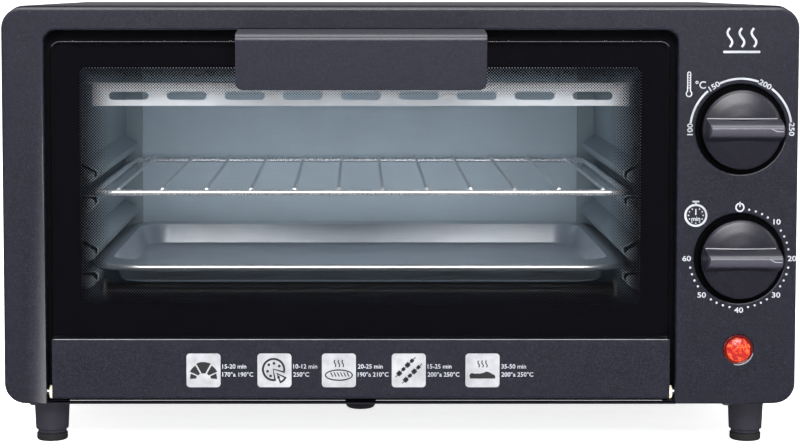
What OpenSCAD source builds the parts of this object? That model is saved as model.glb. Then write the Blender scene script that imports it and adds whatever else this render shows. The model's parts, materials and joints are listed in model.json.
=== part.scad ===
// Compact bench-top toaster oven: glazed drop-down door with a bar handle, wire rack,
// baking tray, two rotary controls and a pilot lamp. Millimetres. X is the width, +Z is up,
// the door faces -Y. The origin is at the bottom centre of the bounding box.
// Depths called d are measured backwards from the plane of the front panel.

/* [Body] */
// Width of the front panel
body_width = 365; // [361:1:369]
// Depth from the front panel to the folded rear edge of the cover
body_depth = 235; // [231:1:245]
// Height of the front panel's top edge above the table
panel_top = 203.7; // [203:0.1:205]

/* [Door] */
// Width of the bar handle
handle_width = 112.2; // [100:0.1:118]
// How far the handle stands in front of the front panel
handle_reach = 25; // [23:0.5:27]
// Thickness of the door glass
glass_t = 4; // [3.5:0.1:4]

/* [Controls] */
// Radius of the face of both knobs
knob_r = 18; // [17:0.1:18.4]
// Height of the temperature knob's axis
temperature_z = 148; // [144:0.5:150]
// Height of the timer knob's axis
timer_z = 88.5; // [86:0.5:90]

/* [Cavity] */
// Height of the rack's frame wire
rack_z = 116.95; // [116.95:0.05:117.2]
// Height of the straight heating elements: lower, upper
lower_heater_z = 59; // [56:0.5:61]
upper_heater_z = 176; // [174:0.5:177]

/* [Hidden] */
gland_reach = 10;
half_w = body_width / 2;
front_y = -(body_depth + gland_reach - handle_reach) / 2;
sheet = 0.8;
foot_top = 20;
cover_top = panel_top + 0.9;
cover_half = half_w - 0.4;
skin_half = cover_half - sheet;
base_half = cover_half - 9.6;
open_l = -half_w + 19.3;
open_r = half_w - 55.4;
open_top = panel_top - 10.3;
door_x = (open_l + open_r) / 2;
frame_d = 9.5;
wall_d = frame_d + sheet;
cav_l = open_l + 14.2;
cav_r = open_r - 14.1;
cav_x = (cav_l + cav_r) / 2;
cav_floor = 39;
cav_top = panel_top - 18.7;
cav_back = body_depth - 18;
rib_reach = 7.5;
tray_rib_z = 79.2;
rim_r = 22.9;
rack_rib_z = 115.2;
rack_wire_r = 1.45;
heater_d = 110;
heater_r = 3.2;
bush_r = 5;
control_x = half_w - 26.5;
pocket_r = 20.8;
knob_top = 13.9;
lamp_z = 46.2;
hinge_z = 25.9;
hinge_d = 4;
pin_r = 1.45;
rail_l = open_l + 2.85;
rail_r = open_r - 2.75;
glass_l = open_l + 3;
glass_r = open_r - 3.5;
glass_top = open_top - 5;
handle_z = 179;
handle_post = 44;
shaft_r = 3;
foot_x = half_w - 18.8;
foot_front = 22.5;
foot_rear = body_depth - 23;
gland_x = 146;
gland_z = 47;
$fn = 64;

// ---- helpers ----------------------------------------------------------------

// Extrudes a drawing in (x, z) from depth d0 to depth d1.
module frontal(d0, d1) {
  translate([0, front_y + d1, 0])
    rotate([90, 0, 0])
      linear_extrude(d1 - d0)
        children();
}

// Extrudes a drawing in (d, z) from x0 to x1.
module sideways(x0, x1) {
  translate([x0, front_y, 0])
    rotate([90, 0, 90])
      linear_extrude(x1 - x0)
        children();
}

// Extrudes a drawing in (x, d) from z0 to z1.
module upright(z0, z1) {
  translate([0, front_y, z0])
    linear_extrude(z1 - z0)
      children();
}

// Local x stays x, local y becomes z, local z points out of the front.
module facing(x, z, d) {
  translate([x, front_y + d, z])
    rotate([90, 0, 0])
      children();
}

module box(x0, x1, d0, d1, z0, z1) {
  translate([x0, front_y + d0, z0])
    cube([x1 - x0, d1 - d0, z1 - z0]);
}

module rect(x0, x1, z0, z1) {
  translate([x0, z0])
    square([x1 - x0, z1 - z0]);
}

module round_rect(x0, x1, z0, z1, r) {
  rect(x0 + r, x1 - r, z0, z1);
  rect(x0, x1, z0 + r, z1 - r);
  for (x = [x0 + r, x1 - r])
    for (z = [z0 + r, z1 - r])
      translate([x, z])
        circle(r);
}

// Rounded at the top, square at the bottom.
module arch(x0, x1, z0, z1, r) {
  rect(x0 + r, x1 - r, z0, z1);
  rect(x0, x1, z0, z1 - r);
  for (x = [x0 + r, x1 - r])
    translate([x, z1 - r])
      circle(r);
}

module slot(length, width) {
  round_rect(-length / 2, length / 2, -width / 2, width / 2, width / 2 - 0.01);
}

// Pan head at the origin, pointing along +z, with its shank below.
module pan_screw(head_r, head_h, shank_r, shank_l) {
  difference() {
    union() {
      cylinder(r = head_r, h = head_h * 0.5);
      translate([0, 0, head_h * 0.5])
        cylinder(r1 = head_r, r2 = head_r * 0.72, h = head_h * 0.5);
    }
    translate([-head_r * 0.55, -head_r * 0.12, head_h * 0.45])
      cube([head_r * 1.1, head_r * 0.24, head_h]);
    translate([-head_r * 0.12, -head_r * 0.55, head_h * 0.45])
      cube([head_r * 0.24, head_r * 1.1, head_h]);
  }
  translate([0, 0, -shank_l])
    cylinder(r = shank_r, h = shank_l + 0.2);
}

// ---- chassis ----------------------------------------------------------------

module side_vents() {
  for (row = [[42, 66], [150, 174]])
    for (k = [0 : 8])
      sideways(-half_w - 5, half_w + 5)
        translate([60 + 13 * k, (row[0] + row[1]) / 2])
          rotate(90)
            slot(row[1] - row[0], 3.4);
}

module outer_cover() {
  color("#3a3b42") {
    difference() {
      frontal(7, body_depth - sheet)
        difference() {
          round_rect(-cover_half, cover_half, foot_top, cover_top, 9.5);
          round_rect(-skin_half, skin_half, foot_top + sheet, cover_top - sheet, 8.7);
          rect(-base_half, base_half, foot_top - 1, foot_top + 5);
        }
      side_vents();
    }
    frontal(body_depth - sheet, body_depth)
      difference() {
        round_rect(-cover_half, cover_half, foot_top, cover_top, 9.5);
        arch(-skin_half + 8.5, skin_half - 8.5, foot_top - 1, cover_top - sheet - 8.5, 4);
        for (x = [-skin_half + 4.2, skin_half - 4.2])
          for (z = [46, cover_top - 24])
            translate([x, z])
              circle(1.6);
      }
  }
}

module bottom_plate() {
  color("#b9bcc2")
    difference() {
      union() {
        box(-base_half, base_half, 16, body_depth - sheet, foot_top, foot_top + sheet);
        box(-base_half, open_l + 4, wall_d, 17, foot_top, foot_top + sheet);
        box(open_r - 4, base_half, wall_d, 17, foot_top, foot_top + sheet);
        for (x = [-base_half, base_half - sheet])
          box(x, x + sheet, wall_d + 6, body_depth - 2 * sheet, foot_top, foot_top + 12);
        box(open_l - 8, cav_r + 8, 16, 16 + sheet, foot_top, foot_top + 10);
      }
      for (d = [60, 120])
        for (k = [0 : 12])
          upright(foot_top - 1, foot_top + 2)
            translate([cav_x - 96 + 16 * k, d + 20])
              rotate(90)
                slot(36, 4);
      for (x = [-half_w + 12.2, control_x - 2.5])
        upright(foot_top - 1, foot_top + 2)
          translate([x, wall_d + 2.7])
            circle(1.6);
    }
}

module back_panel() {
  color("#3a3b42")
    difference() {
      frontal(body_depth - 2 * sheet, body_depth - sheet)
        round_rect(-skin_half, skin_half, foot_top + sheet, cover_top - sheet, 8.7);
      for (z = [66, 150])
        for (k = [0 : 14])
          frontal(body_depth - 3, body_depth + 1)
            translate([-84 + 12 * k - 12, z])
              rotate(90)
                slot(26, 4);
      facing(gland_x, gland_z, body_depth + 1)
        cylinder(r = 5.6, h = 4);
      for (x = [-skin_half + 4.2, skin_half - 4.2])
        for (z = [46, cover_top - 24])
          facing(x, z, body_depth + 1)
            cylinder(r = 1.6, h = 4);
    }
}

// The pressed panel: face, rim, tongue for the cover, door recess, control pockets and a lip
// that crosses below the door.
module front_panel() {
  color("#35363f") {
    box(open_l - 1, open_r + 1, 4, frame_d - 0.2, foot_top + 0.1, foot_top + 0.7);
    for (x = [open_l - 1, open_r])
      box(x, x + 1, 4, frame_d - 0.2, foot_top + 0.1, foot_top + 2);
    difference() {
      union() {
        frontal(0, 1)
          round_rect(-half_w, half_w, foot_top + 1, panel_top, 9.5);
        frontal(0, 7)
          difference() {
            round_rect(-half_w, half_w, foot_top + 1, panel_top, 9.5);
            round_rect(-half_w + 1.4, half_w - 1.4, foot_top + 2.4, panel_top - 1.4, 8.1);
          }
        frontal(6, 15)
          difference() {
            arch(-skin_half, skin_half, foot_top + 9.6, cover_top - sheet, 8.7);
            arch(-skin_half + 1, skin_half - 1, foot_top, cover_top - sheet - 1, 7.7);
          }
        frontal(0, frame_d)
          arch(open_l - 1, open_r + 1, foot_top + 1, open_top + 1, 6.5);
        for (z = [temperature_z, timer_z])
          facing(control_x, z, 3)
            cylinder(r = pocket_r + 1, h = 3);
      }
      frontal(-1, frame_d + 1)
        arch(open_l, open_r, foot_top, open_top, 5.5);
      for (z = [temperature_z, timer_z]) {
        facing(control_x, z, 2)
          cylinder(r = pocket_r, h = 3);
        facing(control_x, z, 4)
          cylinder(r = 4, h = 5);
      }
      facing(control_x, lamp_z, 4)
        cylinder(r = 6.9, h = 5);
      sideways(open_l - 2, open_r + 2)
        translate([hinge_d, hinge_z])
          circle(pin_r + 0.05);
    }
  }
}

module cavity_front_frame() {
  color("#17171b")
    frontal(frame_d, wall_d)
      difference() {
        round_rect(open_l - 14, open_r + 2.9, foot_top + sheet, open_top + 6, 6);
        round_rect(cav_l, cav_r, cav_floor, cav_top, 4);
      }
}

// Section of a wall sheet with two pairs of pressed support and guide ribs.
// The sheet lies at u = 0 to -sheet and the ribs reach towards +u.
module rib_section(z_flat, up, lift) {
  s = up ? 1 : -1;
  w = rib_reach;
  polygon([
    [-lift, z_flat - s * lift],
    [w - 1.2 - lift * 0.5, z_flat - s * lift],
    [w - lift, z_flat - s * (1.2 + lift * 0.5)],
    [w - lift, z_flat - s * (4.2 - lift * 0.4)],
    [-lift, z_flat - s * (8.6 - lift)],
  ]);
}

module wall_section() {
  difference() {
    union() {
      rect(-sheet, 0, cav_floor, cav_top);
      for (z = [tray_rib_z, rack_rib_z])
        rib_section(z, true, 0);
      for (z = [tray_rib_z + 7.2, rack_rib_z + 7.4])
        rib_section(z, false, 0);
    }
    for (z = [tray_rib_z, rack_rib_z])
      rib_section(z, true, sheet);
    for (z = [tray_rib_z + 7.2, rack_rib_z + 7.4])
      rib_section(z, false, sheet);
  }
}

module plain_section() {
  rect(-sheet, 0, cav_floor, cav_top);
}

module cavity_wall() {
  difference() {
    union() {
      frontal(wall_d, 26)
        plain_section();
      frontal(26, cav_back - 8)
        wall_section();
      frontal(cav_back - 8, cav_back)
        plain_section();
      box(-sheet, 9.5, cav_back - sheet, cav_back, cav_floor, cav_top);
    }
    for (z = [lower_heater_z, upper_heater_z])
      translate([-5, front_y + heater_d, z])
        rotate([0, 90, 0])
          cylinder(r = bush_r, h = 10);
  }
}

module cavity_left_wall() {
  color("#7d8790")
    translate([cav_l, 0, 0])
      cavity_wall();
}

module cavity_right_wall() {
  color("#7d8790")
    translate([cav_r, 0, 0])
      mirror([1, 0, 0])
        cavity_wall();
}

module cavity_ceiling() {
  color("#7d8790")
    box(cav_l - sheet, cav_r + sheet, wall_d, cav_back + sheet, cav_top, cav_top + sheet);
}

module cavity_floor() {
  color("#6a737d")
    box(cav_l - sheet, cav_r + sheet, wall_d, cav_back + sheet, cav_floor - sheet, cav_floor);
}

module cavity_back() {
  color("#8b96a0")
    difference() {
      box(cav_l - sheet, cav_r + sheet, cav_back, cav_back + sheet, cav_floor, cav_top);
      for (k = [-12 : 12])
        facing(cav_x + 9 * k, cav_floor + 3, cav_back + 2)
          cylinder(r = 1.4, h = 4, $fn = 24);
    }
}

module upper_heater_guard() {
  color("#c6c9d2") {
    frontal(25, 25 + sheet)
      difference() {
        rect(cav_l + 5, cav_r - 5, 157.4, 168.3);
        for (k = [-4 : 4])
          translate([cav_x + 27.2 * k, 162.1])
            slot(18.7, 3.8);
      }
    box(cav_l, cav_r, 25 + sheet, 36, 168.3 - sheet, 168.3);
  }
}

module heater(z) {
  translate([cav_l - 7, front_y + heater_d, z])
    rotate([0, 90, 0])
      cylinder(r = heater_r, h = cav_r - cav_l + 13);
  translate([cav_l - 13, front_y + heater_d, z])
    rotate([0, 90, 0])
      cylinder(r = 1.2, h = cav_r - cav_l + 22);
}

module upper_heater() {
  color("#9a9a9c")
    heater(upper_heater_z);
}

module lower_heater() {
  color("#9a9a9c")
    heater(lower_heater_z);
}

// Ceramic sleeve through the cavity wall, flange on the outside.
module insulator(side, z) {
  x = side < 0 ? cav_l : cav_r;
  color("#e9e4d8")
    translate([x, front_y + heater_d, z])
      rotate([0, side * 90, 0])
        difference() {
          union() {
            translate([0, 0, -1.5])
              cylinder(r = bush_r, h = 4);
            translate([0, 0, sheet])
              cylinder(r = 6.8, h = 2);
          }
          translate([0, 0, -3])
            cylinder(r = heater_r, h = 8);
        }
}

module insulator_upper_left() {
  insulator(-1, upper_heater_z);
}

module insulator_upper_right() {
  insulator(1, upper_heater_z);
}

module insulator_lower_left() {
  insulator(-1, lower_heater_z);
}

module insulator_lower_right() {
  insulator(1, lower_heater_z);
}

module heat_shield() {
  x = cav_r + 9.5;
  color("#b9bcc2") {
    box(x, x + sheet, 16, cav_back - 2, foot_top + sheet, cav_top);
    box(x + sheet, x + 9, 16, cav_back - 2, foot_top + sheet, foot_top + 2 * sheet);
  }
}

// ---- controls ---------------------------------------------------------------

module thermostat_body() {
  color("#e3ded2")
    difference() {
      union() {
        facing(control_x, temperature_z, 9)
          cylinder(r = 11, h = 6);
        box(control_x - 17, control_x + 17, 9, 22,
            temperature_z - 15, temperature_z + 15);
        box(control_x - 13, control_x + 13, 22, 30,
            temperature_z - 4, temperature_z + 4);
      }
      facing(control_x, temperature_z, 17)
        cylinder(r = shaft_r + 0.05, h = 20);
    }
}

module timer_body() {
  color("#b9bcc2")
    difference() {
      union() {
        facing(control_x, timer_z, 7)
          cylinder(r = 9, h = 4);
        frontal(7, 33)
          round_rect(control_x - 20.5, control_x + 20.5,
                     timer_z - 20.5, timer_z + 20.5, 3);
      }
      facing(control_x, timer_z, 17)
        cylinder(r = shaft_r + 0.05, h = 20);
    }
}

module timer_bell() {
  color("#c8cace")
    facing(control_x, timer_z, 33)
      rotate([180, 0, 0]) {
        cylinder(r = 2, h = 8);
        difference() {
          union() {
            translate([0, 0, 3])
              cylinder(r = 15, h = 4);
            translate([0, 0, 7])
              cylinder(r1 = 15, r2 = 11, h = 3);
          }
          translate([0, 0, 2])
            cylinder(r = 14.2, h = 5);
          translate([0, 0, 6.9])
            cylinder(r1 = 14.2, r2 = 10.5, h = 2.2);
        }
        translate([0, 0, 7.5])
          cylinder(r = 3.4, h = 3.6);
      }
}

// Twelve-sided faceted jewel with a round flange behind the panel.
module lamp_lens() {
  color("#e85022") {
    facing(control_x, lamp_z, 2)
      cylinder(r = 8.2, h = 1);
    facing(control_x, lamp_z, 1)
      cylinder(r = 6.4, h = 2.2, $fn = 12);
    facing(control_x, lamp_z, -1.2)
      cylinder(r1 = 6.4, r2 = 4.4, h = 1.4, $fn = 12);
    facing(control_x, lamp_z, -2.6)
      cylinder(r1 = 4.4, r2 = 1.6, h = 0.7, $fn = 12);
  }
}

module lamp_body() {
  color("#26262a") {
    facing(control_x, lamp_z, 4)
      cylinder(r = 8.2, h = 2);
    facing(control_x, lamp_z, 22)
      cylinder(r = 6.4, h = 18);
    for (x = [-2.5, 2.5])
      box(control_x + x - 0.4, control_x + x + 0.4, 22, 28, lamp_z - 1.5, lamp_z + 1.5);
  }
}

module terminal_block() {
  color("#e9e6df")
    difference() {
      box(134, 164, 176, 196, foot_top + sheet, foot_top + 15);
      for (x = [139, 149, 159]) {
        translate([x, front_y + 181, foot_top + 9])
          cylinder(r = 2, h = 10);
        translate([x, front_y + 191, foot_top + 9])
          cylinder(r = 2, h = 10);
      }
    }
}

module cord_gland() {
  color("#1c1c1f")
    facing(gland_x, gland_z, body_depth + gland_reach)
      difference() {
        union() {
          cylinder(r1 = 5.2, r2 = 6.6, h = gland_reach - 2.5);
          translate([0, 0, gland_reach - 2.5])
            cylinder(r = 8.6, h = 2.5 + sheet);
          cylinder(r = 5.55, h = gland_reach + 3);
          translate([0, 0, gland_reach + 2 * sheet])
            cylinder(r = 8.2, h = 4);
        }
        translate([0, 0, -1])
          cylinder(r = 3.5, h = 30);
      }
}

// Grip bar across a knob: sloping flanks, a sloping left end and an upright right end.
module knob_bar() {
  intersection() {
    rotate([90, 0, 90])
      translate([0, 0, -knob_r - 1])
        linear_extrude(2 * knob_r + 2)
          polygon([
            [-5, 4], [-5, 8.2], [-2.3, knob_top - 0.7], [-1.6, knob_top],
            [1.6, knob_top], [2.3, knob_top - 0.7], [5, 8.2], [5, 4],
          ]);
    rotate([90, 0, 0])
      translate([0, 0, -10])
        linear_extrude(20)
          polygon([
            [-knob_r, 4], [-knob_r + 0.2, 6.4], [-knob_r + 2.7, knob_top],
            [knob_r, knob_top], [knob_r, 4],
          ]);
    cylinder(r = knob_r, h = 30);
  }
}

// Domed knob with a grip bar; local z = 0 is its open rear edge.
module knob_shape() {
  difference() {
    union() {
      rotate_extrude()
        polygon([
          [0, 0], [knob_r + 0.9, 0], [knob_r + 0.1, 5.5], [knob_r - 0.3, 6],
          [knob_r * 0.7, 7.6], [knob_r * 0.35, 8.7], [0, 9],
        ]);
      knob_bar();
    }
    translate([0, 0, -1])
      difference() {
        cylinder(r = knob_r - 1.4, h = 5.4);
        translate([0, 0, -1])
          cylinder(r = 6.4, h = 13);
      }
    translate([0, 0, -1])
      difference() {
        cylinder(r = shaft_r, h = 10);
        translate([-5, 2, -1])
          cube([10, 4, 13]);
      }
  }
}

module shaft_shape() {
  difference() {
    cylinder(r = shaft_r, h = 23.6);
    translate([-5, 2, 14])
      cube([10, 4, 13]);
  }
}

module temperature_knob() {
  color("#3c3b45")
    facing(control_x, temperature_z, 1.4)
      knob_shape();
}

module thermostat_shaft() {
  color("#b0b2b6")
    facing(control_x, temperature_z, 16)
      shaft_shape();
}

module timer_knob() {
  color("#3c3b45")
    facing(control_x, timer_z, 1.4)
      knob_shape();
}

module timer_shaft() {
  color("#b0b2b6")
    facing(control_x, timer_z, 16)
      shaft_shape();
}

// ---- feet and fasteners -----------------------------------------------------

module foot(x, d) {
  color("#302e38")
    translate([x, front_y + d, 0]) {
      translate([0, 0, 5.2])
        cylinder(r1 = 7.65, r2 = 8.35, h = foot_top - 5.2);
      translate([0, 0, 3.4])
        cylinder(r = 6.7, h = 2);
    }
}

module foot_pad(x, d) {
  color("#1b1b1e")
    translate([x, front_y + d, 0]) {
      cylinder(r1 = 6.7, r2 = 7.25, h = 0.6);
      translate([0, 0, 0.6])
        cylinder(r = 7.25, h = 2.8);
    }
}

module foot_front_left() {
  foot(-foot_x, foot_front);
}

module foot_front_right() {
  foot(foot_x, foot_front);
}

module foot_rear_left() {
  foot(-foot_x, foot_rear);
}

module foot_rear_right() {
  foot(foot_x, foot_rear);
}

module foot_pad_front_left() {
  foot_pad(-foot_x, foot_front);
}

module foot_pad_front_right() {
  foot_pad(foot_x, foot_front);
}

module foot_pad_rear_left() {
  foot_pad(-foot_x, foot_rear);
}

module foot_pad_rear_right() {
  foot_pad(foot_x, foot_rear);
}

module panel_screw(x) {
  color("#c4c6ca")
    translate([x, front_y + wall_d + 2.7, foot_top])
      rotate([180, 0, 0])
        pan_screw(3, 2, 1.6, 6);
}

module panel_screw_left() {
  panel_screw(-half_w + 12.2);
}

module panel_screw_right() {
  panel_screw(control_x - 2.5);
}

module door_stop() {
  color("#141416")
    translate([door_x, front_y + 19, 0]) {
      translate([0, 0, 15.7])
        cylinder(r1 = 5.8, r2 = 6.8, h = 1);
      translate([0, 0, 16.7])
        cylinder(r1 = 6.8, r2 = 7.4, h = foot_top - 16.7);
    }
}

module back_screw(side, z) {
  color("#c4c6ca")
    translate([side * (skin_half - 4.2), front_y + body_depth, z])
      rotate([-90, 0, 0])
        pan_screw(3.2, 2.2, 1.6, 7);
}

module back_screw_upper_left() {
  back_screw(-1, cover_top - 24);
}

module back_screw_upper_right() {
  back_screw(1, cover_top - 24);
}

module back_screw_lower_left() {
  back_screw(-1, 46);
}

module back_screw_lower_right() {
  back_screw(1, 46);
}

// ---- door -------------------------------------------------------------------

module door_glass() {
  color("#22262c", 0.4)
    difference() {
      frontal(0, glass_t)
        arch(glass_l, glass_r, 34, glass_top, 4.4);
      for (s = [-1, 1])
        facing(door_x + s * handle_post, handle_z, glass_t + 1)
          cylinder(r = 2.6, h = glass_t + 2);
    }
}

// Black enamel border fired on the rear face of the glass.
module glass_border() {
  color("#0c0c0f")
    frontal(glass_t, glass_t + 0.3)
      difference() {
        arch(glass_l + 0.6, glass_r - 0.6, 51.8, glass_top - 0.6, 3.8);
        round_rect(cav_l + 1.7, cav_r - 2.1, 66.7, glass_top - 12.2, 3);
        for (s = [-1, 1])
          translate([door_x + s * handle_post, handle_z])
            circle(5.4);
      }
}

// Folded channel that grips the bottom of the glass.
module door_bottom_rail() {
  color("#35363f")
    difference() {
      union() {
        sideways(rail_l, rail_r)
          difference() {
            union() {
              rect(-0.8, 8, 24.9, 51.2);
              rect(0.8, 6.4, 23.3, 51.2);
              translate([0.8, 24.9])
                circle(1.6);
              translate([6.4, 24.9])
                circle(1.6);
            }
            rect(0, 7.2, 24.1, 60);
          }
        for (x = [rail_l, rail_r - sheet])
          box(x, x + sheet, 0, 7.2, 24.1, 34);
      }
      sideways(rail_l - 1, rail_r + 1)
        translate([hinge_d, hinge_z])
          circle(pin_r);
    }
}

module rail_gasket() {
  color("#232327")
    box(rail_l + 3, rail_r - 3, glass_t, 7.2, 37, 50);
}

module hinge_block(x) {
  color("#b0b2b6")
    difference() {
      box(x - 6, x + 6, 0, 7.2, 24.1, 33.5);
      sideways(x - 10, x + 10)
        translate([hinge_d, hinge_z])
          circle(pin_r);
    }
}

module hinge_block_left() {
  hinge_block(rail_l + sheet + 6);
}

module hinge_block_right() {
  hinge_block(rail_r - sheet - 6);
}

module hinge_pin(x0, x1) {
  color("#c9cbcf")
    sideways(x0, x1)
      translate([hinge_d, hinge_z])
        circle(pin_r);
}

module hinge_pin_left() {
  hinge_pin(open_l - 3, rail_l + 10);
}

module hinge_pin_right() {
  hinge_pin(rail_r - 10, open_r + 3);
}

module hinge_washer(x0) {
  color("#e6e0cb")
    sideways(x0, x0 + 1.6)
      translate([hinge_d, hinge_z])
        difference() {
          circle(3);
          circle(pin_r);
        }
}

module hinge_washer_left() {
  hinge_washer(rail_l - 1.6);
}

module hinge_washer_right() {
  hinge_washer(rail_r);
}

// Section of the handle: a front face, a rounded shoulder and a ledge that runs back.
module handle_section() {
  f = -handle_reach;
  difference() {
    union() {
      polygon([
        [f, 167.1], [f + 3.6, 167.1], [f + 3.6, 188], [f + 6.4, 190.2],
        [-1.6, 191.2], [-1.6, 193.9], [f + 3.2, 192.4], [f, 189.2],
      ]);
      translate([f + 3.2, 189.2])
        circle(3.2);
    }
    rect(f - 1, f, 160, 200);
  }
}

module handle_cheek() {
  f = -handle_reach;
  polygon([
    [f + 1, 167.1], [f + 3.6, 167.1], [f + 9, 176], [-1.6, 184.5],
    [-1.6, 193.2], [f + 3.2, 192], [f + 1, 190],
  ]);
}

module door_handle() {
  x0 = door_x - handle_width / 2 + 0.1;
  x1 = door_x + handle_width / 2 + 0.1;
  color("#43444f")
    difference() {
      union() {
        intersection() {
          union() {
            sideways(x0, x1)
              handle_section();
            sideways(x0, x0 + 3)
              handle_cheek();
            sideways(x1 - 3, x1)
              handle_cheek();
          }
          frontal(-handle_reach - 1, 0)
            round_rect(x0, x1, 167.1, 200, 3.7);
        }
        for (s = [-1, 1])
          facing(door_x + s * handle_post, handle_z, 0)
            cylinder(r = 6.5, h = handle_reach - 3);
      }
      for (s = [-1, 1])
        facing(door_x + s * handle_post, handle_z, 1)
          cylinder(r = 1.9, h = 15);
    }
}

module handle_screw(s) {
  color("#c4c6ca")
    facing(door_x + s * handle_post, handle_z, glass_t)
      rotate([180, 0, 0])
        pan_screw(5, 2.6, 1.9, glass_t + 13);
}

module handle_screw_left() {
  handle_screw(-1);
}

module handle_screw_right() {
  handle_screw(1);
}

// ---- rack and tray ----------------------------------------------------------

module rack_corner(x, d, start) {
  translate([x, front_y + d, rack_z])
    rotate([0, 0, start])
      rotate_extrude(angle = 90)
        translate([9, 0])
          circle(rack_wire_r, $fn = 32);
}

module rack_wire_x(x0, x1, d) {
  translate([x0, front_y + d, rack_z])
    rotate([0, 90, 0])
      cylinder(r = rack_wire_r, h = x1 - x0, $fn = 32);
}

module rack_wire_d(x, d0, d1, r, z) {
  translate([x, front_y + d0, z])
    rotate([-90, 0, 0])
      cylinder(r = r, h = d1 - d0, $fn = 32);
}

module wire_rack() {
  l = cav_l + 6.1;
  r = cav_r - 6.1;
  near = 20;
  far = cav_back - 4.4;
  color("#c3c5c9") {
    rack_wire_x(l + 9, r - 9, near);
    rack_wire_x(l + 9, r - 9, far);
    rack_wire_d(l, near + 9, far - 9, rack_wire_r, rack_z);
    rack_wire_d(r, near + 9, far - 9, rack_wire_r, rack_z);
    rack_corner(l + 9, near + 9, 180);
    rack_corner(r - 9, near + 9, 270);
    rack_corner(r - 9, far - 9, 0);
    rack_corner(l + 9, far - 9, 90);
    for (k = [-5.5 : 1 : 5.5])
      rack_wire_d(cav_x + 20.6 * k, near - 0.6, far + 0.6, 0.8, rack_z + 1.8);
  }
}

// Section of the tray's wall and of its rolled rim, each from its own corner centre.
module tray_wall() {
  polygon([
    [0, 71], [11.4, 71], [13, 72], [17, 82.4],
    [16, 82.4], [12.3, 72.5], [11, 71.8], [0, 71.8],
  ]);
}

module tray_rim() {
  translate([rim_r, 80.9])
    circle(1.6, $fn = 32);
}

module tray_side(x, d, turn, length) {
  translate([x, front_y + d, 0])
    rotate([0, 0, turn])
      rotate([90, 0, 0])
        linear_extrude(length)
          children();
}

module tray_corner(x, d, turn) {
  translate([x, front_y + d, 0])
    rotate([0, 0, turn])
      rotate_extrude(angle = 90)
        children();
}

// Sweeps a section round the rectangle whose corner centres are given.
module tray_ring(l, r, near, far) {
  tray_side(r, far, 0, far - near) children();
  tray_side(l, near, 180, far - near) children();
  tray_side(l, far, 90, r - l) children();
  tray_side(r, near, 270, r - l) children();
  tray_corner(r, far, 0) children();
  tray_corner(l, far, 90) children();
  tray_corner(l, near, 180) children();
  tray_corner(r, near, 270) children();
}

// The well is shorter than the rim, so the flange is wider in front and behind.
module baking_tray() {
  l = cav_l + 2.5 + 24.5;
  r = cav_r - 2.5 - 24.5;
  near = 24 + 24.5;
  far = cav_back - 4 - 24.5;
  well_near = near + 11.5;
  well_far = far - 6;
  color("#b4b8bd") {
    box(l, r, well_near, well_far, 71, 71.8);
    tray_ring(l, r, well_near, well_far) tray_wall();
    tray_ring(l, r, near, far) tray_rim();
    upright(81.6, 82.4)
      difference() {
        round_rect(l - rim_r, r + rim_r, near - rim_r, far + rim_r, rim_r);
        round_rect(l - 16.2, r + 16.2, well_near - 16.2, well_far + 16.2, 16.2);
      }
  }
}

// ---- selection --------------------------------------------------------------

outer_cover();
bottom_plate();
back_panel();
front_panel();
cavity_front_frame();
cavity_left_wall();
cavity_right_wall();
cavity_ceiling();
cavity_floor();
cavity_back();
upper_heater_guard();
upper_heater();
lower_heater();
insulator_upper_left();
insulator_upper_right();
insulator_lower_left();
insulator_lower_right();
heat_shield();
thermostat_body();
timer_body();
timer_bell();
lamp_lens();
lamp_body();
terminal_block();
cord_gland();
foot_front_left();
foot_front_right();
foot_rear_left();
foot_rear_right();
foot_pad_front_left();
foot_pad_front_right();
foot_pad_rear_left();
foot_pad_rear_right();
panel_screw_left();
panel_screw_right();
door_stop();
back_screw_upper_left();
back_screw_upper_right();
back_screw_lower_left();
back_screw_lower_right();
door_glass();
glass_border();
door_bottom_rail();
rail_gasket();
hinge_block_left();
hinge_block_right();
hinge_pin_left();
hinge_pin_right();
hinge_washer_left();
hinge_washer_right();
door_handle();
handle_screw_left();
handle_screw_right();
wire_rack();
baking_tray();
temperature_knob();
thermostat_shaft();
timer_knob();
timer_shaft();
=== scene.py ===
"""The looks of a compact bench-top toaster oven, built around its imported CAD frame.

Sizes in this script are in millimetres unless a name says otherwise. x runs to the right seen
from the front, z runs up, and d is the depth behind the plane of the front panel.
"""

import json
import math

import bmesh
import bpy
import numpy as np
from mathutils import Matrix, Vector

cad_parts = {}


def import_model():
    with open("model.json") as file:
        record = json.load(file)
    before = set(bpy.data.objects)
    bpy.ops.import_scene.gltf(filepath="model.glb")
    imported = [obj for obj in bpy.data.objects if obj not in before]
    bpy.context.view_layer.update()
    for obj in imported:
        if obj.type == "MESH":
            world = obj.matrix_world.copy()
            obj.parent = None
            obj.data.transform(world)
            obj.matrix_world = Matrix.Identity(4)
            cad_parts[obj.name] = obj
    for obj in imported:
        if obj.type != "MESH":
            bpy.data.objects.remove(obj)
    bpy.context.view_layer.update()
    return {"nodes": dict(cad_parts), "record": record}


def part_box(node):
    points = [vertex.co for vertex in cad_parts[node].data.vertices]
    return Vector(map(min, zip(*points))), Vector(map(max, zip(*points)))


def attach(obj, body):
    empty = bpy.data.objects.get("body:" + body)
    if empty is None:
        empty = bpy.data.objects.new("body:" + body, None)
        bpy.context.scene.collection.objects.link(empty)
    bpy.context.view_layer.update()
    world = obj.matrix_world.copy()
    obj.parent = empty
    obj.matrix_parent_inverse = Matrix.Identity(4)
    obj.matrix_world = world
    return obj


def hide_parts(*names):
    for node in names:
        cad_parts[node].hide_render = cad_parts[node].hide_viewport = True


MM = 0.001
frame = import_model()
BODY_OF = {
    node: body
    for body, nodes in frame["record"]["behaviour"]["bodies"].items()
    for node in nodes
}
SLOT_OF = {s["node"]: s["material_slot"] for s in frame["record"]["subparts"]}
FRONT_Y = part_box("front_panel")[0].y / MM


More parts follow.
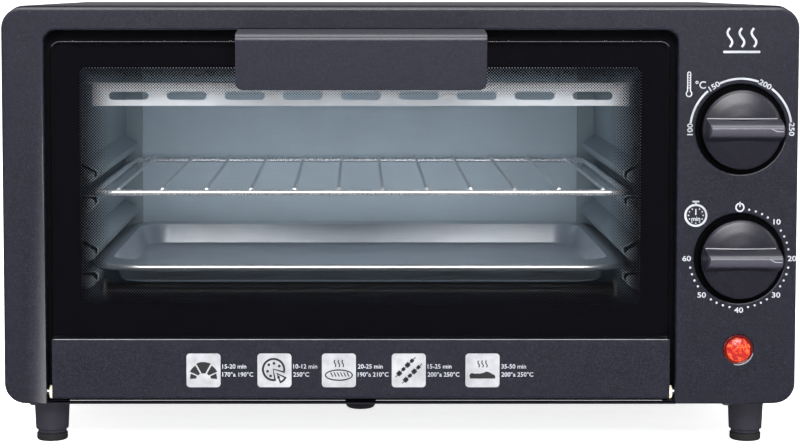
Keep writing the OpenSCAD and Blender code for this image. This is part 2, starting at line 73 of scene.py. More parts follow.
def box_mm(node):
    """A node's box as (x0, x1, d0, d1, z0, z1)."""
    lo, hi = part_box(node)
    return (
        lo.x / MM,
        hi.x / MM,
        lo.y / MM - FRONT_Y,
        hi.y / MM - FRONT_Y,
        lo.z / MM,
        hi.z / MM,
    )


def point(x, d, z):
    return Vector((x * MM, (FRONT_Y + d) * MM, z * MM))


def facing(x, z, d):
    """Local x stays x, local y becomes z and local z points out of the front. Metres inside."""
    origin = point(x, d, z)
    return Matrix(
        ((1, 0, 0, origin.x), (0, 0, -1, origin.y), (0, 1, 0, origin.z), (0, 0, 0, 1))
    )


# ---- materials ---------------------------------------------------------------


class Shader:
    """A Principled material with small helpers for its node tree."""

    def __init__(self, name, **sockets):
        self.mat = bpy.data.materials.new(name)
        self.mat.use_nodes = True
        self.nt = self.mat.node_tree
        self.bsdf = self.nt.nodes["Principled BSDF"]
        self.coords = self.node("ShaderNodeTexCoord").outputs["Object"]
        for socket, value in sockets.items():
            self.bsdf.inputs[socket.replace("_", " ")].default_value = value

    def node(self, kind, **settings):
        made = self.nt.nodes.new(kind)
        for key, value in settings.items():
            setattr(made, key, value)
        return made

    def link(self, source, target):
        self.nt.links.new(source, target)

    def stretched(self, scale):
        mapping = self.node("ShaderNodeMapping")
        mapping.inputs["Scale"].default_value = scale
        self.link(self.coords, mapping.inputs["Vector"])
        return mapping.outputs["Vector"]

    def noise(self, size_mm, detail=2.0, stretch=None):
        """Noise whose features are about size_mm wide."""
        made = self.node("ShaderNodeTexNoise")
        made.inputs["Scale"].default_value = 1.0 / (size_mm * MM)
        made.inputs["Detail"].default_value = detail
        source = self.stretched(stretch) if stretch else self.coords
        self.link(source, made.inputs["Vector"])
        return made.outputs["Fac"]

    def cells(self, size_mm, output="Distance", feature="F1"):
        """Cells about size_mm wide."""
        made = self.node("ShaderNodeTexVoronoi", feature=feature)
        made.inputs["Scale"].default_value = 1.0 / (size_mm * MM)
        self.link(self.coords, made.inputs["Vector"])
        return made.outputs[output]

    def ramp(self, source, stops):
        """stops: (position, grey or colour)."""
        made = self.node("ShaderNodeValToRGB")
        elements = made.color_ramp.elements
        while len(elements) < len(stops):
            elements.new(0.5)
        for element, (position, value) in zip(elements, stops):
            element.position = position
            element.color = (value, value, value, 1) if np.isscalar(value) else (*value, 1)
        self.link(source, made.inputs["Fac"])
        return made.outputs["Color"]

    def mix(self, share, first, second):
        """Colour mix; each part is a colour, a number or another node's socket."""
        made = self.node("ShaderNodeMix", data_type="RGBA")
        for socket, value in ((0, share), (6, first), (7, second)):
            if isinstance(value, bpy.types.NodeSocket):
                self.link(value, made.inputs[socket])
            elif np.isscalar(value):
                made.inputs[socket].default_value = value
            else:
                made.inputs[socket].default_value = (*value, 1)
        return made.outputs[2]

    def drive(self, socket, source):
        self.link(source, self.bsdf.inputs[socket])

    def bump(self, height, strength, depth_mm):
        made = self.node("ShaderNodeBump")
        made.inputs["Strength"].default_value = strength
        made.inputs["Distance"].default_value = depth_mm * MM
        self.link(height, made.inputs["Height"])
        self.link(made.outputs["Normal"], self.bsdf.inputs["Normal"])


def scaled(colour, by):
    return tuple(c * by for c in colour)


def fleck_paint(name, colour, fleck, rough=0.33):
    """Satin paint with a fine metallic fleck and a slight orange peel."""
    s = Shader(name, Specular_IOR_Level=0.45, Coat_Weight=0.04, Coat_Roughness=0.3)
    specks = s.ramp(s.cells(0.3, "Color"), [(0.55, 0.0), (1.0, 1.0)])
    cloud = s.ramp(s.noise(0.8, 3), [(0.35, scaled(colour, 0.86)), (0.65, scaled(colour, 1.16))])
    s.drive("Base Color", s.mix(specks, cloud, fleck))
    s.drive("Roughness", s.ramp(s.noise(0.8, 3), [(0.3, rough - 0.015), (0.7, rough + 0.02)]))
    s.bump(s.noise(0.55, 2), 0.1, 0.02)
    return s.mat


def plain_paint(name, colour, rough, shine=0.5):
    """Paint, enamel or ink with only a faint clouding."""
    s = Shader(name, Specular_IOR_Level=shine)
    s.drive(
        "Base Color",
        s.ramp(s.noise(6, 4), [(0.3, scaled(colour, 0.85)), (0.7, scaled(colour, 1.2))]),
    )
    s.drive("Roughness", s.ramp(s.noise(2.5, 3), [(0.3, rough - 0.02), (0.7, rough + 0.03)]))
    s.bump(s.noise(0.7, 2), 0.05, 0.02)
    return s.mat


def plastic(name, colour, rough, grain_mm=0.35, grain=0.3, coat=0.0):
    """Moulded plastic with a spark-eroded grain."""
    s = Shader(name, Coat_Weight=coat, Coat_Roughness=0.15)
    s.drive(
        "Base Color",
        s.ramp(s.noise(3, 4), [(0.3, scaled(colour, 0.88)), (0.7, scaled(colour, 1.12))]),
    )
    s.drive("Roughness", s.ramp(s.noise(1.1, 3), [(0.3, rough - 0.05), (0.7, rough + 0.07)]))
    s.bump(s.noise(grain_mm, 2), grain, 0.03)
    return s.mat


def rolled_metal(name, colour, rough, stretch, streak=0.12, metallic=1.0, stain=None):
    """Sheet or wire with rolling marks along one axis and faint clouding."""
    s = Shader(name, Metallic=metallic)
    lines = s.noise(0.5, 4, stretch)
    cloud = s.noise(28, 3)
    base = s.ramp(
        lines, [(0.3, scaled(colour, 1 - streak)), (0.7, scaled(colour, 1 + streak * 0.6))]
    )
    tint = stain or scaled(colour, 0.82)
    s.drive("Base Color", s.mix(s.ramp(cloud, [(0.45, 0.0), (0.75, 0.55)]), base, tint))
    s.drive("Roughness", s.ramp(lines, [(0.25, rough - 0.06), (0.75, rough + 0.08)]))
    s.bump(lines, 0.12, 0.02)
    return s.mat


def spangled_zinc(name, colour, rough):
    """Galvanised sheet with its large flat crystals."""
    s = Shader(name, Metallic=1.0)
    grains = s.cells(7, "Color")
    s.drive(
        "Base Color",
        s.ramp(grains, [(0.1, scaled(colour, 0.8)), (0.9, scaled(colour, 1.12))]),
    )
    s.drive("Roughness", s.ramp(grains, [(0.0, rough - 0.08), (1.0, rough + 0.1)]))
    s.bump(s.noise(0.8, 3), 0.08, 0.02)
    return s.mat


def ridge_plastic(name, colour, bright, crest, foot):
    """Plastic with a painted highlight: it grows brighter from the foot of a ridge to its crest,
    both given as y.
    """
    s = Shader(name, Roughness=0.32)
    split = s.node("ShaderNodeSeparateXYZ")
    s.link(s.coords, split.inputs[0])
    climb = s.node("ShaderNodeMapRange")
    climb.inputs["From Min"].default_value = foot * MM
    climb.inputs["From Max"].default_value = crest * MM
    s.link(split.outputs["Y"], climb.inputs["Value"])
    s.drive("Base Color", s.mix(climb.outputs["Result"], colour, bright))
    s.bump(s.noise(0.5, 2), 0.12, 0.02)
    return s.mat


def pane_glass(name, tint):
    """Clear toughened glass: light passes straight through and the faces mirror by angle."""
    s = Shader(name)
    clear = s.node("ShaderNodeBsdfTransparent")
    clear.inputs["Color"].default_value = (*tint, 1)
    mirror = s.node("ShaderNodeBsdfGlossy")
    mirror.inputs["Roughness"].default_value = 0.015
    angle = s.node("ShaderNodeFresnel")
    angle.inputs["IOR"].default_value = 1.3
    wave = s.node("ShaderNodeBump")
    wave.inputs["Strength"].default_value = 0.02
    wave.inputs["Distance"].default_value = 0.05 * MM
    s.link(s.noise(60, 1), wave.inputs["Height"])
    s.link(wave.outputs["Normal"], mirror.inputs["Normal"])
    both = s.node("ShaderNodeMixShader")
    s.link(angle.outputs["Fac"], both.inputs[0])
    s.link(clear.outputs["BSDF"], both.inputs[1])
    s.link(mirror.outputs["BSDF"], both.inputs[2])
    s.link(both.outputs["Shader"], s.nt.nodes["Material Output"].inputs["Surface"])
    s.nt.nodes.remove(s.bsdf)
    return s.mat


def lamp_jewel(name):
    """Moulded red plastic whose facet edges catch an orange glow."""
    s = Shader(name, Roughness=0.28, Coat_Weight=0.1, Coat_Roughness=0.1)
    edges = s.cells(1.3, "Distance", "DISTANCE_TO_EDGE")
    sparks = s.ramp(edges, [(0.0, 1.0), (0.14, 0.0)])
    patches = s.ramp(s.noise(2.4, 3), [(0.44, 0.0), (0.58, 1.0)])
    lit = s.mix(patches, (0.27, 0.003, 0.002), (0.44, 0.009, 0.004))
    amount = s.node("ShaderNodeMath", operation="MULTIPLY")
    s.link(sparks, amount.inputs[0])
    s.link(patches, amount.inputs[1])
    glow = s.mix(amount.outputs[0], lit, (0.8, 0.17, 0.03))
    s.drive("Base Color", glow)
    s.link(glow, s.bsdf.inputs["Emission Color"])
    s.bsdf.inputs["Emission Strength"].default_value = 0.12
    s.bump(s.cells(1.3), 0.4, 0.25)
    return s.mat


PAINT = (0.0068, 0.0068, 0.0125)
MATERIALS = {
    "charcoal_paint": fleck_paint("charcoal_paint", PAINT, (0.030, 0.031, 0.048)),
    "black_paint": plain_paint("black_paint", (0.0020, 0.0019, 0.0028), 0.5, 0.08),
    "plated_sheet": rolled_metal(
        "plated_sheet", (0.60, 0.71, 0.80), 0.45, (0.02, 1, 1), 0.05, 0.12
    ),
    # painted shade: a darker copy of plated_sheet for the cavity's side walls
    "shaded_side_sheet": rolled_metal(
        "shaded_side_sheet", (0.36, 0.43, 0.48), 0.45, (0.02, 1, 1), 0.05, 0.15
    ),
    "galvanised_sheet": spangled_zinc("galvanised_sheet", (0.5, 0.51, 0.53), 0.42),
    "bright_strip": rolled_metal(
        "bright_strip", (0.76, 0.78, 0.83), 0.38, (0.02, 1, 1), 0.05, 0.35
    ),
    "heater_sheath": rolled_metal(
        "heater_sheath", (0.3, 0.28, 0.26), 0.4, (1, 0.2, 0.2), 0.2, 1.0, (0.2, 0.16, 0.12)
    ),
    "ceramic": plastic("ceramic", (0.72, 0.68, 0.6), 0.7, 0.5, 0.4),
    "bell_steel": rolled_metal("bell_steel", (0.6, 0.6, 0.62), 0.25, (1, 1, 1), 0.06),
    "lamp_red": lamp_jewel("lamp_red"),
    # painted shade: a darker red for the lens's edge ring
    "lamp_ring_shade_red": plastic("lamp_ring_shade_red", (0.085, 0.004, 0.004), 0.25, 0.6, 0.1),
    # painted highlight: the knobs' grip bars grow brighter towards their crests
    "knob_ridge_highlight": ridge_plastic(
        "knob_ridge_highlight",
        (0.007, 0.0068, 0.0115),
        (0.042, 0.041, 0.055),
        crest=FRONT_Y - 12.6,
        foot=FRONT_Y - 9.6,
    ),
    # painted shade: black for the knobs' pockets and for the knob skirts that stand in their shade
    "pocket_shade_black": plain_paint("pocket_shade_black", (0.0012, 0.0012, 0.0016), 0.6, 0.03),
    # painted highlight lines: the knobs' creases, the rail's top edge and the lamp's hole rim
    "painted_edge_highlight": plain_paint("painted_edge_highlight", (0.20, 0.20, 0.215), 0.3),
    # faint painted highlights: the pane's top edge and the pockets' rims
    "faint_edge_highlight": plain_paint("faint_edge_highlight", (0.075, 0.07, 0.08), 0.2),
    # painted highlight: a pale strip standing in for light in the pointer's engraved groove
    "pointer_groove_highlight": plastic("pointer_groove_highlight", (0.22, 0.22, 0.25), 0.4),
    "black_plastic": plastic("black_plastic", (0.012, 0.012, 0.013), 0.5),
    "white_plastic": plastic("white_plastic", (0.7, 0.68, 0.63), 0.45),
    "foot_plastic": plastic("foot_plastic", (0.020, 0.019, 0.028), 0.4, 0.4, 0.35),
    "rubber": plastic("rubber", (0.009, 0.009, 0.010), 0.75, 0.3, 0.5),
    "zinc_screw": rolled_metal("zinc_screw", (0.62, 0.63, 0.66), 0.28, (1, 1, 1), 0.08),
    "bumper_black": plastic("bumper_black", (0.006, 0.006, 0.007), 0.16, 0.8, 0.05, 0.4),
    "door_glass": pane_glass("door_glass", (0.97, 0.975, 0.975)),
    "black_enamel": plain_paint("black_enamel", (0.0015, 0.0011, 0.0028), 0.55, 0.03),
    "hinge_steel": rolled_metal("hinge_steel", (0.55, 0.55, 0.57), 0.3, (1, 1, 1), 0.1),
    "cream_nylon": plastic("cream_nylon", (0.74, 0.68, 0.5), 0.4, 0.5, 0.1),
    "handle_plastic": fleck_paint(
        "handle_plastic", (0.0078, 0.0084, 0.0150), (0.024, 0.025, 0.038), 0.32
    ),
    "rack_chrome": rolled_metal("rack_chrome", (0.80, 0.81, 0.84), 0.26, (1, 1, 1), 0.05, 0.72),
    "tray_steel": rolled_metal(
        "tray_steel", (0.74, 0.755, 0.80), 0.34, (0.03, 1, 1), 0.06, 0.92
    ),
    "knob_plastic": fleck_paint(
        "knob_plastic", (0.0062, 0.0060, 0.0108), (0.022, 0.021, 0.033), 0.32
    ),
    "white_print": plain_paint("white_print", (0.33, 0.34, 0.37), 0.5, 0.2),
    "badge_print": plain_paint("badge_print", (0.29, 0.293, 0.31), 0.5, 0.2),
    "dark_print": plain_paint("dark_print", (0.012, 0.012, 0.014), 0.5),
}


# ---- mesh helpers ------------------------------------------------------------

SMOOTH_DEG = 32  # edges that bend more than this are sharp, and can be rounded by width
CORNER_DEG = 35  # edges that bend more than this can be picked for a radius of their own
WELD = 0.002  # vertices closer than this become one
DIGIT_SHARE = 0.70  # height of a digit over the size of its font


def place(name, mesh, body, slot, material=None, smooth_deg=SMOOTH_DEG):
    """Links a finished mesh as a piece that rides on a CAD body."""
    mesh.materials.clear()
    mesh.materials.append(MATERIALS[material or slot])
    mesh.polygons.foreach_set("use_smooth", [smooth_deg > 0] * len(mesh.polygons))
    if smooth_deg > 0:
        mesh.set_sharp_from_angle(angle=math.radians(smooth_deg))
    mesh.update()
    made = bpy.data.objects.new(name, mesh)
    bpy.context.scene.collection.objects.link(made)
    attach(made, body)
    return made


def weighted(made):
    """Normals that follow the large faces, so that a rounded edge doesn't shade its neighbours."""
    normals = made.modifiers.new("even_normals", "WEIGHTED_NORMAL")
    normals.keep_sharp = True
    normals.weight = 100
    return made


def rounded_edges(made, width_mm, segments):
    """Rounds every sharp edge by the same width."""
    edge = made.modifiers.new("rounded_edges", "BEVEL")
    edge.width = width_mm * MM
    edge.segments = segments
    edge.limit_method = "ANGLE"
    edge.angle_limit = math.radians(SMOOTH_DEG)
    return weighted(made)


def cad_piece(node, name, picks=(), width=0.0, segments=2, thinner=0.0, material=None):
    """A copy of a CAD node with rounded edges, shown in the node's place.

    picks holds (test on both ends of an edge, radius, steps) for edges rounded more than the
    rest, which take width. thinner moves the rear face forward, so that it stands clear of the
    piece behind it.
    """
    mesh = frame["nodes"][node].data.copy()
    rear = max(v.co.y for v in mesh.vertices)
    for v in mesh.vertices:
        if v.co.y > rear - 0.01 * MM:
            v.co.y -= thinner * MM
    bm = bmesh.new()
    bm.from_mesh(mesh)
    bmesh.ops.remove_doubles(bm, verts=bm.verts, dist=WELD * MM)
    bmesh.ops.dissolve_limit(
        bm, angle_limit=math.radians(0.4), verts=bm.verts, edges=bm.edges
    )
    for test, radius, steps in picks:
        chosen = []
        for e in bm.edges:
            if len(e.link_faces) != 2 or e.calc_face_angle(0) < math.radians(CORNER_DEG):
                continue
            a, b = (v.co / MM for v in e.verts)
            if test((a.x, a.y - FRONT_Y, a.z)) and test((b.x, b.y - FRONT_Y, b.z)):
                chosen.append(e)
        bmesh.ops.bevel(
            bm,
            geom=chosen,
            offset=radius * MM,
            segments=steps,
            affect="EDGES",
            profile=0.5,
            clamp_overlap=False,
        )
    bm.normal_update()
    bm.to_mesh(mesh)
    bm.free()
    made = place(name, mesh, BODY_OF[node], SLOT_OF[node], material)
    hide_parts(node)
    return rounded_edges(made, width, segments) if width else weighted(made)


def arc(cx, cy, r, start, end, steps):
    """Points from start to end, both in degrees."""
    turn = [math.radians(start + (end - start) * k / steps) for k in range(steps + 1)]
    return [(cx + r * math.cos(t), cy + r * math.sin(t)) for t in turn]


def round_rect(x0, x1, z0, z1, r, steps=8):
    """The outline of a rectangle with corners of radius r."""
    return (
        arc(x1 - r, z0 + r, r, 270, 360, steps)
        + arc(x1 - r, z1 - r, r, 0, 90, steps)
        + arc(x0 + r, z1 - r, r, 90, 180, steps)
        + arc(x0 + r, z0 + r, r, 180, 270, steps)
    )


def circle(cx, cy, r, steps=40):
    return arc(cx, cy, r, 0, 360, steps)[:-1]


def curve_mesh(outlines, thickness):
    """Fills closed outlines, holes left open, as a slab from local z = 0 to thickness."""
    data = bpy.data.curves.new("outline", "CURVE")
    data.dimensions = "2D"
    data.fill_mode = "BOTH"
    data.extrude = thickness / 2 * MM
    for outline in outlines:
        spline = data.splines.new("POLY")
        spline.points.add(len(outline) - 1)
        for p, (x, y) in zip(spline.points, outline):
            p.co = (x * MM, y * MM, 0, 1)
        spline.use_cyclic_u = True
    holder = bpy.data.objects.new("outline", data)
    mesh = bpy.data.meshes.new_from_object(holder)
    bpy.data.objects.remove(holder)
    bpy.data.curves.remove(data)
    mesh.transform(Matrix.Translation((0, 0, thickness / 2 * MM)))
    return mesh


def text_mesh(words, height, thickness, heavy=0.0, wide=1.0):
    """A word centred on the origin. height is that of its digits, heavy thickens its strokes."""
    data = bpy.data.curves.new("words", "FONT")
    data.body = words
    data.size = height * MM / DIGIT_SHARE
    data.align_x = "CENTER"
    data.align_y = "CENTER"
    data.extrude = thickness / 2 * MM
    data.offset = heavy * MM
    data.resolution_u = 4
    holder = bpy.data.objects.new("words", data)
    mesh = bpy.data.meshes.new_from_object(holder)
    bpy.data.objects.remove(holder)
    bpy.data.curves.remove(data)
    xs = [v.co.x for v in mesh.vertices]
    ys = [v.co.y for v in mesh.vertices]
    middle = ((min(xs) + max(xs)) / 2, (min(ys) + max(ys)) / 2)
    mesh.transform(Matrix.Translation((-middle[0], -middle[1], thickness / 2 * MM)))
    mesh.transform(Matrix.Diagonal((wide, 1, 1, 1)))
    return mesh


def joined(parts):
    """One mesh from (mesh, matrix) pairs."""
    bm = bmesh.new()
    for mesh, matrix in parts:
        mesh.transform(matrix)
        bm.from_mesh(mesh)
        bpy.data.meshes.remove(mesh)
    made = bpy.data.meshes.new("joined")
    bm.to_mesh(made)
    bm.free()
    return made


def shift(x, y, turn=0.0):
    """A place in the plane of a print, with a turn in degrees."""
    return Matrix.Translation((x * MM, y * MM, 0)) @ Matrix.Rotation(
        math.radians(turn), 4, "Z"
    )


def lathe(profile, steps=96):
    """Turns a closed or open profile of (radius, height) about local z."""
    bm = bmesh.new()
    verts = [bm.verts.new((r * MM, 0, h * MM)) for r, h in profile]
    edges = [bm.edges.new(pair) for pair in zip(verts, verts[1:])]
    bmesh.ops.spin(
        bm,
        geom=verts + edges,
        axis=(0, 0, 1),
        cent=(0, 0, 0),
        angle=2 * math.pi,
        steps=steps,
        use_merge=True,
    )
    bmesh.ops.remove_doubles(bm, verts=bm.verts, dist=WELD * MM)
    bmesh.ops.recalc_face_normals(bm, faces=bm.faces)
    mesh = bpy.data.meshes.new("lathe")
    bm.to_mesh(mesh)
    bm.free()
    return mesh


# ---- main dimensions, read from the frame ------------------------------------

PANEL = box_mm("front_panel")
GLASS = box_mm("door_glass")
RAIL = box_mm("door_bottom_rail")
CAVITY_L = box_mm("cavity_left_wall")
CAVITY_R = box_mm("cavity_right_wall")
KNOB_T = box_mm("temperature_knob")
KNOB_M = box_mm("timer_knob")
LAMP = box_mm("lamp_lens")
PANEL_TOP = PANEL[5] - 0.1
OPEN_L = RAIL[0] - 2.85  # sides and top of the panel's recess for the door
OPEN_R = RAIL[1] + 2.75
OPEN_TOP = GLASS[5] + 5
DIAL_X = (LAMP[0] + LAMP[1]) / 2  # middle of the column that holds both dials and the lamp
DIAL_T = (KNOB_T[4] + KNOB_T[5]) / 2
DIAL_M = (KNOB_M[4] + KNOB_M[5]) / 2
LAMP_Z = (LAMP[4] + LAMP[5]) / 2
POCKET_R = 20.8  # recess round each knob
LAMP_HOLE_R = 6.9
WALL_T = 0.8  # sheet of the cavity's side walls
TRAY_SUPPORT, TRAY_GUIDE = 79.2, 86.4  # flat faces of the pressed ribs
RACK_SUPPORT, RACK_GUIDE = 115.2, 122.6
PRINT_T = 0.06
PRINT_PROUD = 0.03  # clearance, so that a print shares no plane with its surface
LINE_T = 0.04  # thickness and clearance of the painted highlight lines along edges
LINE_PROUD = 0.02
IDENTITY = Matrix.Identity(4)


# ---- painted panel, cover, rail ----------------------------------------------


def on_front(p):
    """Whether (x, d, z) lies in the plane of the front panel."""
    return abs(p[1]) < 0.05


def near_dial(p, z, r):
    """Whether a point lies on the circle of radius r round the dial or lamp at height z."""
    return abs(math.hypot(p[0] - DIAL_X, p[2] - z) - r) < 0.3


def in_opening(p):
    """Whether a point lies in the recess that holds the door."""
    return OPEN_L - 0.1 < p[0] < OPEN_R + 0.1 and p[2] < OPEN_TOP + 0.1


cad_piece(
    "front_panel",
    "painted_front_panel",
    picks=[
        (
            lambda p: on_front(p)
            and not in_opening(p)
            and not near_dial(p, DIAL_T, POCKET_R)
            and not near_dial(p, DIAL_M, POCKET_R)
            and not near_dial(p, LAMP_Z, LAMP_HOLE_R),
            1.3,
            4,
        ),
        (lambda p: on_front(p) and in_opening(p), 1.1, 4),
        (
            lambda p: on_front(p)
            and (near_dial(p, DIAL_T, POCKET_R) or near_dial(p, DIAL_M, POCKET_R)),
            0.7,
            3,
        ),
        (lambda p: on_front(p) and near_dial(p, LAMP_Z, LAMP_HOLE_R), 0.7, 3),
    ],
)
cad_piece("outer_cover", "painted_cover", width=0.25)
cad_piece("back_panel", "painted_back", width=0.2, segments=1)
cad_piece("door_bottom_rail", "painted_door_rail", width=0.5, segments=3)
cad_piece("cavity_front_frame", "black_mouth_frame", width=0.2)
cad_piece("bottom_plate", "galvanised_base", width=0.2, segments=1)
cad_piece("upper_heater_guard", "slotted_guard", width=0.25)
# the side walls and rib ends take the darker copy of the plated sheet as painted shade
cad_piece("cavity_left_wall", "ribbed_wall_left", width=0.3, material="shaded_side_sheet")
cad_piece("cavity_right_wall", "ribbed_wall_right", width=0.3, material="shaded_side_sheet")
cad_piece("door_glass", "door_pane", width=0.6, thinner=0.03)
cad_piece("door_handle", "bar_handle", width=1.1, segments=4)
cad_piece("wire_rack", "wire_shelf")
cad_piece("baking_tray", "steel_tray", width=0.25)
for corner in ("front_left", "front_right", "rear_left", "rear_right"):
    cad_piece("foot_" + corner, "tapered_foot_" + corner, width=0.5)
    cad_piece("foot_pad_" + corner, "rubber_pad_" + corner, width=0.4)
cad_piece("door_stop", "door_bumper", width=0.7, segments=3)
for node in (
    "panel_screw_left",
    "panel_screw_right",
    "back_screw_upper_left",
    "back_screw_upper_right",
    "back_screw_lower_left",
    "back_screw_lower_right",
    "handle_screw_left",
    "handle_screw_right",
):
    cad_piece(node, node + "_head", width=0.18)
cad_piece("hinge_washer_left", "nylon_washer_left", width=0.3)
cad_piece("hinge_washer_right", "nylon_washer_right", width=0.3)
cad_piece("cord_gland", "cord_sleeve", width=0.5)


def rib_ends(name, x, side):
    """Closed front ends of a side wall's four pressed ribs. side: 1 where ribs reach right."""
    reach, height, lip = 7.5, 8.6, 1.2
    lap = 0.3 * side
    ribs = ((TRAY_SUPPORT, 1), (TRAY_GUIDE, -1), (RACK_SUPPORT, 1), (RACK_GUIDE, -1))
    ends = []
    for z, up in ribs:
        outline = [
            (x - lap, z),
            (x + (reach - lip) * side, z),
            (x + reach * side, z - up * lip),
            (x + reach * side, z - up * (height / 2)),
            (x - lap, z - up * height),
        ]
        ends.append((curve_mesh([outline], 0.4), IDENTITY))
    mesh = joined(ends)
    mesh.transform(facing(0, 0, CAVITY_L[2] + 0.9))
    place(name, mesh, "chassis", "plated_sheet", "shaded_side_sheet", smooth_deg=0)


rib_ends("rib_ends_left", CAVITY_L[0] + WALL_T, 1)
rib_ends("rib_ends_right", CAVITY_R[1] - WALL_T, -1)


# ---- knobs -------------------------------------------------------------------


def rod(points, radius, sides=8):
    """A thin round rod along points that run mostly in x."""
    bm = bmesh.new()
    turns = [2 * math.pi * k / sides for k in range(sides)]
    rings = []
    for x, y, h in points:
        ring = [(x, y + radius * math.cos(t), h + radius * math.sin(t)) for t in turns]
        rings.append([bm.verts.new((a * MM, b * MM, c * MM)) for a, b, c in ring])
    for one, two in zip(rings, rings[1:]):
        for k in range(sides):
            bm.faces.new((one[k], one[k - 1], two[k - 1], two[k]))
    bm.faces.new(rings[0])
    bm.faces.new(rings[-1][::-1])
    bmesh.ops.recalc_face_normals(bm, faces=bm.faces)
    mesh = bpy.data.meshes.new("rod")
    bm.to_mesh(mesh)
    bm.free()
    return mesh


def dome_height(radius, r):
    """Height of a knob's face over its rear plane, r being the radius of the face."""
    shares = (0, 0.35, 0.7, 0.95, 1)
    heights = (9.0, 8.7, 7.6, 6.35, 5.9)
    return float(np.interp(radius / r, shares, heights))


def knob(node, name, z):
    """A low dome with a grip bar: sloping flanks, a sloping left end, an upright right end."""
    skirt_step = 0.9  # the skirt's radius over that of the face
    bar_half = 5.0  # half width of the grip bar at its foot
    crease_y = 5.2  # painted highlight line where the bar meets the face
    r = (KNOB_T[5] - KNOB_T[4]) / 2 - skirt_step
    rear = KNOB_T[3]
    top = rear - KNOB_T[2]
    rim = [  # (radius, height over the rear plane)
        (3.0, 0.6),
        (r - 1.4, 0.0),
        (r + 0.75, 0.0),
        (r + skirt_step, 0.15),
        (r + 0.14, 5.2),
        (r + 0.02, 5.62),
        (r - 0.25, 5.95),
        (r - 0.6, 6.15),
    ]
    face = [(r * share, dome_height(r * share, r)) for share in np.linspace(0.945, 0.0, 16)]
    skirt = lathe(rim[:5], 96)
    body = lathe(rim[4:] + face, 128)
    bm = bmesh.new()
    for y in (-1, 1):
        for x, half, h in (  # corners of the bar: x, half width, height
            (-r + 0.7, bar_half, 4.0),
            (-r + 0.9, bar_half, 8.2),
            (-r + 2.4, 2.5, top - 1.0),
            (-r + 2.75, 1.75, top - 0.35),
            (-r + 2.9, 0.8, top),
            (r - 0.7, bar_half, 4.0),
            (r - 0.7, bar_half, 8.2),
            (r - 0.18, 2.5, top - 1.0),
            (r - 0.12, 1.75, top - 0.35),
            (r - 0.1, 0.8, top),
        ):
            bm.verts.new(Vector((x, y * half, h)) * MM)
    for x, h in ((-r, 4.0), (-r + 0.2, 6.4), (r, 4.0), (r, top)):
        bm.verts.new(Vector((x, 0, h)) * MM)
    bmesh.ops.convex_hull(bm, input=bm.verts)
    bmesh.ops.dissolve_limit(
        bm, angle_limit=math.radians(1), verts=bm.verts, edges=bm.edges
    )
    sharp = [e for e in bm.edges if e.calc_face_angle(0) > math.radians(12)]
    bmesh.ops.bevel(
        bm, geom=sharp, offset=0.32 * MM, segments=3, affect="EDGES", profile=0.5
    )
    bar = bpy.data.meshes.new("bar")
    bm.to_mesh(bar)
    bm.free()
    # a thin rod in a pale colour along the crease, as a painted highlight
    path = [
        (x, crease_y, max(dome_height(math.hypot(x, crease_y), r), 7.0) + 0.12)
        for x in np.linspace(-r + 1.5, r - 2.4, 25)
    ]
    crease_highlight = rod(path, 0.3)
    crease_highlight.transform(facing(DIAL_X, z, rear))
    place(name + "_crease", crease_highlight, BODY_OF[node], SLOT_OF[node], "painted_edge_highlight")
    # the skirt is black as painted shade from the pocket
    skirt.transform(facing(DIAL_X, z, rear))
    place(name + "_skirt", skirt, BODY_OF[node], SLOT_OF[node], "pocket_shade_black")
    # the bar takes a painted highlight that brightens towards its crest
    bar.transform(facing(DIAL_X, z, rear))
    weighted(place(name + "_bar", bar, BODY_OF[node], SLOT_OF[node], "knob_ridge_highlight", 38))
    body.transform(facing(DIAL_X, z, rear))
    made = place(name, body, BODY_OF[node], SLOT_OF[node], smooth_deg=38)
    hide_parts(node)
    # the pointer is a pale flat strip, a painted highlight of an engraved groove
    mark = [
        (r - 6.2, 0.85),
        (r - 3.9, -0.35),
        (r - 0.6, -0.45),
        (r - 0.6, -0.12),
        (r - 3.7, 0.0),
        (r - 5.9, 1.05),
    ]
    notch = curve_mesh([mark], 0.1)
    notch.transform(facing(DIAL_X, z, rear - top + 0.05))
    place(name + "_pointer", notch, BODY_OF[node], SLOT_OF[node], "pointer_groove_highlight", smooth_deg=0)
    return weighted(made)


knob("temperature_knob", "temperature_grip", DIAL_T)
knob("timer_knob", "timer_grip", DIAL_M)


def pocket_shade_lining(name, z):
    """Painted shade: black on the wall and floor of a knob's pocket, from under its rounded rim to
    its floor.
    """
    wall, rim, floor, shaft = POCKET_R - 0.05, -0.75, -1.95, 5.0
    mesh = lathe([(wall, rim), (wall, floor), (shaft, floor)], 128)
    mesh.transform(facing(DIAL_X, z, 0))
    place(name, mesh, "chassis", "charcoal_paint", "pocket_shade_black")


pocket_shade_lining("pocket_lining_temperature", DIAL_T)
pocket_shade_lining("pocket_lining_timer", DIAL_M)


# ---- lamp --------------------------------------------------------------------


